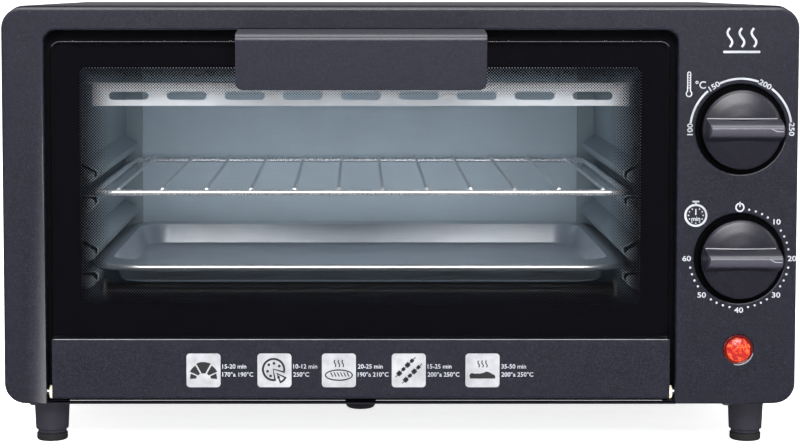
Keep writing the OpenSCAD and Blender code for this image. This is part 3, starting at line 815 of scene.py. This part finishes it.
def lamp():
    """A low dome of flat facets inside a ring of darker red, painted shade for the lens's edge."""
    seat = 1.0  # depth of the lens's foot
    squeeze = Matrix.Diagonal((0.95, 0.95, 1, 1))
    bm = bmesh.new()
    rings = [(6.05, 0.0, 24), (5.9, 1.5, 24), (5.2, 2.1, 24), (3.6, 2.75, 16), (1.8, 3.05, 9)]
    for r, h, n in rings:  # radius, height, number of corners
        for k in range(n):
            t = 2 * math.pi * (k + 0.5 * (n % 4)) / n
            bm.verts.new((r * math.cos(t) * MM, r * math.sin(t) * MM, h * MM))
    bm.verts.new((0, 0, 3.15 * MM))
    bmesh.ops.convex_hull(bm, input=bm.verts)
    dome = bpy.data.meshes.new("dome")
    bm.to_mesh(dome)
    bm.free()
    dome.transform(facing(DIAL_X, LAMP_Z, seat) @ squeeze)
    place("lamp_jewel", dome, "chassis", "lamp_red", smooth_deg=14)
    rim = [(6.85, 0), (6.8, 0.9), (6.5, 1.2), (5.9, 0.9), (5.5, 0)]
    ring = lathe([(0, -1), (8.2, -1), (8.2, 0), *rim, (0, 0)], 64)
    ring.transform(facing(DIAL_X, LAMP_Z, seat))
    # the ring takes a darker red as painted shade on the lens's edge
    made = place("lamp_ring", ring, "chassis", "lamp_red", "lamp_ring_shade_red")
    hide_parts("lamp_lens")


lamp()


# ---- halftone edge of the window ---------------------------------------------


def halftone():
    """Enamel dots on a 45 degree grid that shrink from the border towards the window.

    x0 to x1 and z0 to z1 are the inner edges of the border, and reach is how far the dots go
    in from them.
    """
    spacing = 0.94
    pitch = spacing / math.sqrt(2)
    x0, x1 = CAVITY_L[0] + WALL_T + 1.7, CAVITY_R[1] - WALL_T - 2.1
    z0, z1 = 66.7, GLASS[5] - 12.2
    reach = 14.0
    smallest, fullest = 0.03, 1.0
    depth = GLASS[3] + 0.02
    thick = 0.08
    columns = np.arange(0, int((x1 - x0) / pitch) + 1)
    rows = np.arange(0, int((z1 - z0) / pitch) + 1)
    gx, gz = np.meshgrid(columns, rows)
    keep = (gx + gz) % 2 == 0
    px = x0 + gx[keep] * pitch
    pz = z0 + gz[keep] * pitch
    side = np.minimum(px - x0, x1 - px) / reach
    end = np.minimum(pz - z0, z1 - pz) / reach
    fade = np.clip(np.minimum(side, end), 0, None)
    inside = fade < 1
    px, pz, fade = px[inside], pz[inside], fade[inside]
    cover = np.clip(1.02 - fade, smallest, fullest)
    radius = pitch * math.sqrt(2) * np.sqrt(cover) * 0.62
    turn = np.arange(6) * math.pi / 3
    parts = {
        "left": px < x0 + reach,
        "right": px > x1 - reach,
    }
    middle = ~(parts["left"] | parts["right"])
    parts["upper"] = middle & (pz > (z0 + z1) / 2)
    parts["lower"] = middle & (pz <= (z0 + z1) / 2)
    for name, chosen in parts.items():
        cx, cz, r = px[chosen], pz[chosen], radius[chosen]
        n = len(cx)
        ring_x = cx[:, None] + r[:, None] * np.cos(turn)
        ring_z = cz[:, None] + r[:, None] * np.sin(turn)
        verts = np.zeros((n, 12, 3))
        verts[:, :6, 0] = verts[:, 6:, 0] = ring_x * MM
        verts[:, :6, 2] = verts[:, 6:, 2] = ring_z * MM
        verts[:, :6, 1] = (FRONT_Y + depth) * MM
        verts[:, 6:, 1] = (FRONT_Y + depth + thick) * MM
        faces = []
        for b in range(0, 12 * n, 12):
            faces.append([b + i for i in range(6)])
            faces.append([b + 11 - i for i in range(6)])
            for i in range(6):
                j = (i + 1) % 6
                faces.append([b + j, b + i, b + 6 + i, b + 6 + j])
        mesh = bpy.data.meshes.new("dots")
        mesh.from_pydata(verts.reshape(-1, 3).tolist(), [], faces)
        place("enamel_dots_" + name, mesh, "door", "black_enamel", smooth_deg=0)


halftone()


# ---- prints ------------------------------------------------------------------

SCALE_NUMBERS = (2.4, PRINT_T, 0.06, 1.2)  # height, thickness, added weight, width


def band(cx, cy, r, width, start, end, steps=24):
    """Part of a ring, as one closed outline."""
    outer = arc(cx, cy, r + width / 2, start, end, steps)
    return outer + arc(cx, cy, r - width / 2, end, start, steps)


def print_on(name, parts, x, z, d=-PRINT_PROUD, body="chassis", material="white_print"):
    """Places (mesh, matrix) pairs as one print centred on x and z."""
    mesh = joined(parts)
    mesh.transform(facing(x, z, d))
    return place(name, mesh, body, "charcoal_paint", material, smooth_deg=0)


def flat(*outlines):
    """A printed shape; outlines that run the other way round are its holes."""
    return curve_mesh(outlines, PRINT_T)


def stroke(points, width):
    """A constant-width ribbon along a polyline, as one closed outline."""
    left, right = [], []
    for k, (x, y) in enumerate(points):
        a = points[max(k - 1, 0)]
        b = points[min(k + 1, len(points) - 1)]
        dx, dy = b[0] - a[0], b[1] - a[1]
        length = math.hypot(dx, dy)
        nx, ny = -dy / length * width / 2, dx / length * width / 2
        left.append((x + nx, y + ny))
        right.append((x - nx, y - ny))
    return left + right[::-1]


def temperature_scale():
    """Three arcs between the numbers, which stand round the dial."""
    number_r = 23.3
    parts = [
        (flat(band(0, 0, 23.2, 0.95, a, b)), IDENTITY)
        for a, b in ((131, 173), (70, 115), (8, 53))
    ]
    for words, angle, turn in (
        ("100", 180, 90),
        ("150", 122, 32),
        ("200", 62, -28),
        ("250", 0, -90),
    ):
        t = math.radians(angle)
        at = shift(number_r * math.cos(t), number_r * math.sin(t), turn)
        parts.append((text_mesh(words, *SCALE_NUMBERS), at))
    print_on("temperature_scale", parts, DIAL_X, DIAL_T)


def timer_scale():
    """Minutes clockwise from the off mark at the top, with four dots before each number."""
    step, dot_gap = 45, 7.85  # degrees
    number_x, number_z, dot_r = 24.2, 23.9, 22.9
    parts = []
    for k, words in enumerate(("10", "20", "30", "40", "50", "60"), 1):
        t = math.radians(90 - step * k)
        at = shift(number_x * math.cos(t), number_z * math.sin(t))
        parts.append((text_mesh(words, *SCALE_NUMBERS), at))
        for j in range(4):
            a = math.radians(90 - step * k + step / 2 + (1.5 - j) * dot_gap)
            dot = circle(dot_r * math.cos(a), dot_r * math.sin(a), 0.52, 14)
            parts.append((flat(dot), IDENTITY))
    off_mark = shift(0, 23.6)
    parts.append((flat(circle(0, 0, 2.15), circle(0, 0, 1.45)[::-1]), off_mark))
    parts.append((flat(round_rect(-0.33, 0.33, 0.1, 2.6, 0.3, 3)), off_mark))
    print_on("timer_scale", parts, DIAL_X, DIAL_M)


def thermometer():
    """A small thermometer with a degree sign beside it."""
    bulb_y, r = -4.3, 1.55
    outer = arc(0, bulb_y, r, 125, 415, 20) + arc(0, 5.0, 0.9, 0, 180, 8)
    inner = arc(0, bulb_y, r - 0.55, 115, 425, 18) + arc(0, 5.0, 0.42, 0, 180, 8)
    parts = [(flat(outer, inner[::-1]), IDENTITY)]
    for k in range(6):
        parts.append((flat(circle(0, -1.6 + 1.15 * k, 0.27, 10)), IDENTITY))
    parts.append((text_mesh("°C", 3.3, PRINT_T, 0.06), shift(5.3, -0.2)))
    print_on("thermometer_mark", parts, DIAL_X - 23.9, DIAL_T + 20.6)


def stopwatch():
    """A stopwatch face with its button, hand and minute dots."""
    parts = [
        (flat(circle(0, 0, 5.3), circle(0, 0, 4.35)[::-1]), IDENTITY),
        (flat(round_rect(-0.35, 0.35, 5.0, 6.4, 0.1, 2)), IDENTITY),
        (flat(round_rect(-1.6, 1.6, 6.0, 6.75, 0.3, 3)), IDENTITY),
        (flat(round_rect(-0.28, 0.28, 0.2, 3.0, 0.2, 3)), IDENTITY),
        (text_mesh("min", 2.0, PRINT_T, 0.05), shift(0, -1.6)),
    ]
    upper, lower = (1, 2, 3, 4, 8, 9, 10, 11), (5, 6, 7)  # as the hours of a clock
    for hours, ring, r in ((upper, 3.35, 0.33), (lower, 3.55, 0.3)):
        for k in hours:
            t = math.radians(90 - 30 * k)
            dot = circle(ring * math.cos(t), ring * math.sin(t), r, 10)
            parts.append((flat(dot), IDENTITY))
    print_on("stopwatch_mark", parts, DIAL_X - 20.2, DIAL_M + 19.9)


def wave_points(x, y0, height, swing, steps=14):
    """A line that rises from y0 through one full wave."""
    return [
        (x + swing * math.sin(2 * math.pi * k / steps), y0 + height * k / steps)
        for k in range(steps + 1)
    ]


def heat_mark():
    """A generic heat symbol at the top of the control panel: three rising waves on a bar."""
    parts = [(flat(round_rect(-8.5, 8.5, -5.6, -4.5, 0.5, 4)), IDENTITY)]
    for x in (-5.5, 0, 5.5):
        parts.append((flat(stroke(wave_points(x, -2.8, 8.6, 1.1), 1.0)), IDENTITY))
    print_on("heat_mark", parts, DIAL_X, PANEL_TOP - 15.2)


temperature_scale()
timer_scale()
thermometer()
stopwatch()
heat_mark()


# ---- food guide on the door rail ---------------------------------------------


def ellipse(cx, cy, rx, ry, steps=28):
    return [(cx + (x - cx) * rx, cy + (y - cy) * ry) for x, y in circle(cx, cy, 1, steps)]


def crescent_art():
    """A curved pastry of five rolls."""
    art = []
    for angle, half, outer, inner in (
        (171, 12, 6.2, 3.3),
        (138, 16, 7.0, 2.7),
        (90, 26, 7.6, 2.3),
        (42, 16, 7.0, 2.7),
        (9, 12, 6.2, 3.3),
    ):
        art.append(
            arc(0, -3.7, outer, angle - half, angle + half, 8)
            + arc(0, -3.7, inner, angle + half * 0.8, angle - half * 0.8, 8)
        )
    return art


def pizza_art():
    """A round pizza with one slice drawn out of it."""
    cut0, cut1 = -78, -18  # degrees
    whole = arc(-0.4, 0.4, 5.4, cut1, cut0 + 360, 30) + [(-0.4, 0.4)]
    inner = arc(-0.4, 0.4, 4.45, cut1 + 9, cut0 + 351, 28) + [(-0.75, 0.85)]
    slice_outer = arc(0.9, -1.1, 5.2, cut0 + 6, cut1 - 6, 10) + [(0.9, -1.1)]
    slice_inner = arc(0.9, -1.1, 4.3, cut0 + 16, cut1 - 16, 8) + [(1.5, -1.8)]
    rings = [[whole, inner[::-1]], [slice_outer, slice_inner[::-1]]]
    for x, y in ((-2.6, 2.6), (-0.2, 3.3), (2.2, 2.0), (-3.2, -0.4), (-1.8, -2.6), (1.9, -3.2)):
        rings.append([circle(x, y, 0.65, 12)])
    return rings


def steam_art(y0):
    """Three wisps that rise from y0."""
    return [stroke(wave_points(x, y0, 3.2, 0.35), 0.5) for x in (-1.8, 0, 1.8)]


def loaf_art():
    """A scored loaf with steam over it."""
    rings = [[ellipse(0, -2.2, 6.5, 2.7), ellipse(0, -2.2, 5.9, 2.1)[::-1]]]
    for k in range(6):
        x = -3.8 + 1.5 * k
        rings.append([stroke([(x, -0.9), (x + 1.0, -2.9)], 0.5)])
    return rings + [[s] for s in steam_art(1.6)]


def skewer_art():
    """Two skewers side by side, each with four pieces."""
    rings = []
    for dx, dy in ((-1.5, 1.5), (1.5, -1.5)):
        rings.append([stroke([(-4.6 + dx, -4.6 + dy), (4.6 + dx, 4.6 + dy)], 0.4)])
        for k in range(4):
            t = -2.9 + 1.95 * k
            size = 1.5 if k % 2 == 0 else 1.15
            a, b = t + dx, t + dy
            rings.append([[(a - size, b), (a, b - size), (a + size, b), (a, b + size)]])
    return rings


def roast_art():
    """A roast of two humps with steam over it."""
    body = (
        arc(-4.6, -2.6, 1.4, 100, 200, 8)
        + [(-5.7, -3.8), (5.9, -3.8)]
        + arc(4.8, -3.0, 1.1, -20, 80, 8)
        + arc(2.0, -2.7, 2.1, 60, 130, 8)
        + arc(-2.4, -2.9, 1.5, 60, 120, 6)
    )
    return [[body]] + [[s] for s in steam_art(1.4)]


def food_guide():
    """Five tiles on the rail, each with a drawing, and its minutes and degrees beside it."""
    z = (RAIL[4] + RAIL[5]) / 2 - 0.55
    d = RAIL[2]
    half, corner_r, line_gap = 7.85, 1.6, 1.85
    guide = (  # middle of the tile, drawing, minutes, degrees
        (-90.5, [[o] for o in crescent_art()], "15-20 min", "170°a 190°C"),
        (-57.8, pizza_art(), "10-12 min", "250°C"),
        (-28.1, loaf_art(), "20-25 min", "190°a 210°C"),
        (4.1, skewer_art(), "15-25 min", "200°a 250°C"),
        (38.1, roast_art(), "35-50 min", "200°a 250°C"),
    )
    tiles, art, words = [], [], []
    for x, drawing, minutes, degrees in guide:
        tiles.append((flat(round_rect(x - half, x + half, -half, half, corner_r)), IDENTITY))
        for outlines in drawing:
            art.append((flat(*outlines), shift(x, 0)))
        for label, y in ((minutes, line_gap), (degrees, -line_gap)):
            mesh = text_mesh(label, 2.0, PRINT_T, 0.03)
            left = min(v.co.x for v in mesh.vertices) / MM
            words.append((mesh, shift(x + 8.7 - left, y)))
    print_on("guide_tiles", tiles, 0, z, d - PRINT_PROUD, "door", "badge_print")
    print_on("guide_drawings", art, 0, z, d - 0.08, "door", "dark_print")
    print_on("guide_words", words, 0, z, d - PRINT_PROUD, "door")


food_guide()


# ---- lit edges of the pane and the rail --------------------------------------


def lit_edges():
    """Painted highlights as thin strips on the ground front edge of the pane's top and on the
    folded top edge of the rail.
    """
    r, inset = 4.4, 0.25
    x0, x1, top = GLASS[0] + inset, GLASS[1] - inset, GLASS[5] - inset
    path = arc(x0 + r, top - r, r, 150, 90, 8) + arc(x1 - r, top - r, r, 90, 30, 8)
    pane = curve_mesh([stroke(path, 0.22)], LINE_T)
    pane.transform(facing(0, 0, GLASS[2] - LINE_PROUD))
    place("pane_edge_highlight", pane, "door", "door_glass", "faint_edge_highlight", smooth_deg=0)
    line = round_rect(RAIL[0] + 0.9, RAIL[1] - 0.9, -0.3, 0.0, 0.1, 2)
    rail = curve_mesh([line], 0.1)
    rail.transform(facing(0, RAIL[5] - 0.02, RAIL[2] - LINE_PROUD))
    place("rail_edge_highlight", rail, "door", "charcoal_paint", "painted_edge_highlight", smooth_deg=0)


def lit_rims():
    """Crescents of light on the lower right rims of the pockets and of the lamp's hole."""
    start, end = -105, -15  # degrees
    # each crescent is a thin pale strip, a painted highlight
    for name, z, r, width, material in (
        ("pocket_rim_highlight_temperature", DIAL_T, POCKET_R + 0.45, 0.3, "faint_edge_highlight"),
        ("pocket_rim_highlight_timer", DIAL_M, POCKET_R + 0.45, 0.3, "faint_edge_highlight"),
        ("lamp_rim_highlight", LAMP_Z, 7.2, 0.5, "painted_edge_highlight"),
    ):
        lean = width / 2
        outer = arc(0, 0, r, start, end, 24)
        inner = arc(-lean * 0.5, lean * 0.87, r - width / 3, end, start, 24)
        mesh = curve_mesh([outer + inner], LINE_T)
        mesh.transform(facing(DIAL_X, z, -LINE_PROUD))
        place(name, mesh, "chassis", "charcoal_paint", material, smooth_deg=0)


lit_edges()
lit_rims()


# ---- remaining CAD nodes keep their shape and take a material ----------------

for node, made in frame["nodes"].items():
    made.data.materials.clear()
    made.data.materials.append(MATERIALS[SLOT_OF[node]])


# ---- stage, light and camera -------------------------------------------------


def stage():
    """A white floor that curves up far behind. Metres."""
    near, far, r, top, half = -4.0, 2.2, 0.8, 4.0, 5
    turns = np.linspace(0.1, 1.57, 12)
    bend = [(far + r * math.sin(t), r - r * math.cos(t)) for t in turns]
    bm = bmesh.new()
    rows = [
        [bm.verts.new((x, y, z)) for x in (-half, half)]
        for y, z in [(near, 0.0), (far, 0.0), *bend, (far + r, top)]
    ]
    for a, b in zip(rows, rows[1:]):
        bm.faces.new((a[0], a[1], b[1], b[0]))
    mesh = bpy.data.meshes.new("floor")
    bm.to_mesh(mesh)
    bm.free()
    mesh.polygons.foreach_set("use_smooth", [True] * len(mesh.polygons))
    floor = bpy.data.objects.new("floor", mesh)
    s = Shader("pale_floor", Roughness=0.9, Specular_IOR_Level=0.1, Emission_Strength=0.78)
    s.drive("Base Color", s.ramp(s.noise(900, 2), [(0.3, 0.84), (0.7, 0.88)]))
    s.bsdf.inputs["Emission Color"].default_value = (1, 1, 1, 1)
    mesh.materials.append(s.mat)
    floor.visible_glossy = False
    bpy.context.scene.collection.objects.link(floor)


def softbox(name, place_at, aim, size, power, visible=True):
    """An area light in metres and watts. visible: whether glossy surfaces mirror it."""
    data = bpy.data.lights.new(name, "AREA")
    data.shape = "RECTANGLE"
    data.size, data.size_y = size
    data.energy = power
    made = bpy.data.objects.new(name, data)
    made.location = place_at
    made.rotation_euler = (Vector(aim) - Vector(place_at)).to_track_quat("-Z", "Y").to_euler()
    made.visible_camera = False
    made.visible_glossy = visible
    bpy.context.scene.collection.objects.link(made)


def world():
    """White behind the object; for its own light, dim at the horizon and brighter overhead."""
    made = bpy.data.worlds.new("studio")
    made.use_nodes = True
    nt = made.node_tree
    background = nt.nodes["Background"]
    background.inputs["Color"].default_value = (1.0, 1.0, 1.0, 1)
    direction = nt.nodes.new("ShaderNodeTexCoord").outputs["Generated"]
    split = nt.nodes.new("ShaderNodeSeparateXYZ")
    nt.links.new(direction, split.inputs[0])
    climb = nt.nodes.new("ShaderNodeMapRange")
    for socket, value in (("From Min", 0.0), ("From Max", 0.7), ("To Min", 0.10), ("To Max", 0.6)):
        climb.inputs[socket].default_value = value
    nt.links.new(split.outputs["Z"], climb.inputs["Value"])
    nt.links.new(climb.outputs["Result"], background.inputs["Strength"])
    bright = nt.nodes.new("ShaderNodeBackground")
    bright.inputs["Color"].default_value = (1, 1, 1, 1)
    bright.inputs["Strength"].default_value = 1.0
    path = nt.nodes.new("ShaderNodeLightPath")
    both = nt.nodes.new("ShaderNodeMixShader")
    nt.links.new(path.outputs["Is Camera Ray"], both.inputs[0])
    nt.links.new(background.outputs["Background"], both.inputs[1])
    nt.links.new(bright.outputs["Background"], both.inputs[2])
    nt.links.new(both.outputs["Shader"], nt.nodes["World Output"].inputs["Surface"])
    bpy.context.scene.world = made


def camera():
    """A long lens in front of the oven, a little left of its middle and above its top."""
    tilt = 3.764  # degrees below level
    data = bpy.data.cameras.new("camera")
    data.lens = 96.0
    data.sensor_width = 36
    data.shift_x = 0.0562
    data.shift_y = -0.120
    data.clip_start = 0.05
    data.clip_end = 30
    made = bpy.data.objects.new("camera", data)
    made.location = point(-20.66, -974.7, 213.19)
    made.rotation_euler = (math.radians(90 - tilt), 0, 0)
    bpy.context.scene.collection.objects.link(made)
    bpy.context.scene.camera = made


stage()
world()
softbox("overhead", (-0.1, -0.25, 1.4), (0, 0, 0.1), (1.7, 1.0), 28)
softbox("front_key", (0.1, -2.0, 1.2), (0, -0.1, 0.1), (1.3, 0.6), 38)
softbox("front_low", (0.0, -2.3, 0.5), (0, -0.1, 0.1), (1.7, 0.5), 20, visible=False)
softbox("right_fill", (1.6, -1.0, 0.7), (0.05, 0, 0.1), (0.7, 0.9), 5)
softbox("left_fill", (-1.7, -0.6, 0.7), (0.0, 0, 0.1), (0.7, 0.9), 3)
softbox("rear_fill", (0.6, 2.0, 1.0), (0.0, 0, 0.1), (1.2, 0.9), 10, visible=False)
camera()
bpy.context.scene.view_settings.view_transform = "Standard"
bpy.context.scene.cycles.max_bounces = 10
bpy.context.scene.cycles.transparent_max_bounces = 24
